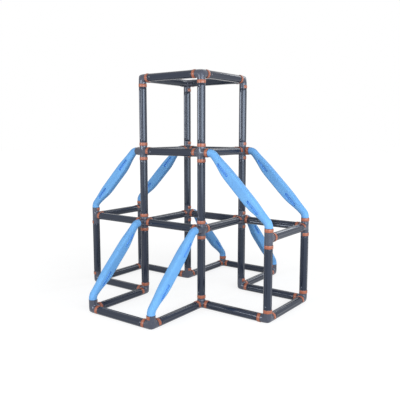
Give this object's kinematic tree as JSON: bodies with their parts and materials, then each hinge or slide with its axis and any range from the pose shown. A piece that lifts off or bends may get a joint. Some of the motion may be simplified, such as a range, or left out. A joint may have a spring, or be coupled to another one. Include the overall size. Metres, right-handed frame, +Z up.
{
  "type": "climbing tower",
  "caption": "Tower-shaped climbing frame of straight tubes plugged into hub connectors, with low side bays and bent sloping rails.",
  "frame": {"origin": "on the ground, at the middle of the plan", "axes": "+Z up; X runs through the two low bays, +X towards the right bay; Y runs through the two ground ramps, -Y is the front ramp"},
  "size_m": [1.783, 1.78, 1.783],
  "materials": {
    "frame_plastic": "moulded slate-grey plastic with a soft gloss, finely streaked along the tubes",
    "hub_plastic": "moulded slate-grey plastic, a little duller than the tubes",
    "rail_plastic": "light blue moulded plastic with a soft gloss",
    "clip_plastic": "orange moulded plastic"
  },
  "bodies": {
    "root": {"upright_front_left_1": "frame_plastic", "upright_front_left_2": "frame_plastic", "upright_front_left_3": "frame_plastic", "upright_front_right_1": "frame_plastic", "upright_front_right_2": "frame_plastic", "upright_front_right_3": "frame_plastic", "upright_back_right_1": "frame_plastic", "upright_back_right_2": "frame_plastic", "upright_back_right_3": "frame_plastic", "upright_back_left_1": "frame_plastic", "upright_back_left_2": "frame_plastic", "upright_back_left_3": "frame_plastic", "left_bay_upright_front": "frame_plastic", "left_bay_upright_back": "frame_plastic", "right_bay_upright_front": "frame_plastic", "right_bay_upright_back": "frame_plastic", "bar_front_level_1": "frame_plastic", "bar_back_level_1": "frame_plastic", "bar_left_level_1": "frame_plastic", "bar_right_level_1": "frame_plastic", "bar_front_level_2": "frame_plastic", "bar_back_level_2": "frame_plastic", "bar_left_level_2": "frame_plastic", "bar_right_level_2": "frame_plastic", "bar_front_level_3": "frame_plastic", "bar_back_level_3": "frame_plastic", "bar_left_level_3": "frame_plastic", "bar_right_level_3": "frame_plastic", "left_bay_ground_bar_front": "frame_plastic", "left_bay_ground_bar_back": "frame_plastic", "left_bay_ground_bar_end": "frame_plastic", "left_bay_top_bar_front": "frame_plastic", "left_bay_top_bar_end": "frame_plastic", "right_bay_ground_bar_front": "frame_plastic", "right_bay_ground_bar_back": "frame_plastic", "right_bay_ground_bar_end": "frame_plastic", "right_bay_top_bar_back": "frame_plastic", "right_bay_top_bar_end": "frame_plastic", "front_ramp_ground_bar_left": "frame_plastic", "front_ramp_ground_bar_right": "frame_plastic", "front_ramp_ground_bar_end": "frame_plastic", "front_ramp_hub_left": "hub_plastic", "front_ramp_hub_right": "hub_plastic", "back_ramp_ground_bar_left": "frame_plastic", "back_ramp_ground_bar_right": "frame_plastic", "back_ramp_ground_bar_end": "frame_plastic", "back_ramp_hub_left": "hub_plastic", "back_ramp_hub_right": "hub_plastic", "left_bay_rail_front": "rail_plastic", "left_bay_rail_back": "rail_plastic", "right_bay_rail_front": "rail_plastic", "right_bay_rail_back": "rail_plastic", "front_ramp_rail_left": "rail_plastic", "front_ramp_rail_right": "rail_plastic", "back_ramp_rail_left": "rail_plastic", "back_ramp_rail_right": "rail_plastic"}
  },
  "joints": []
}
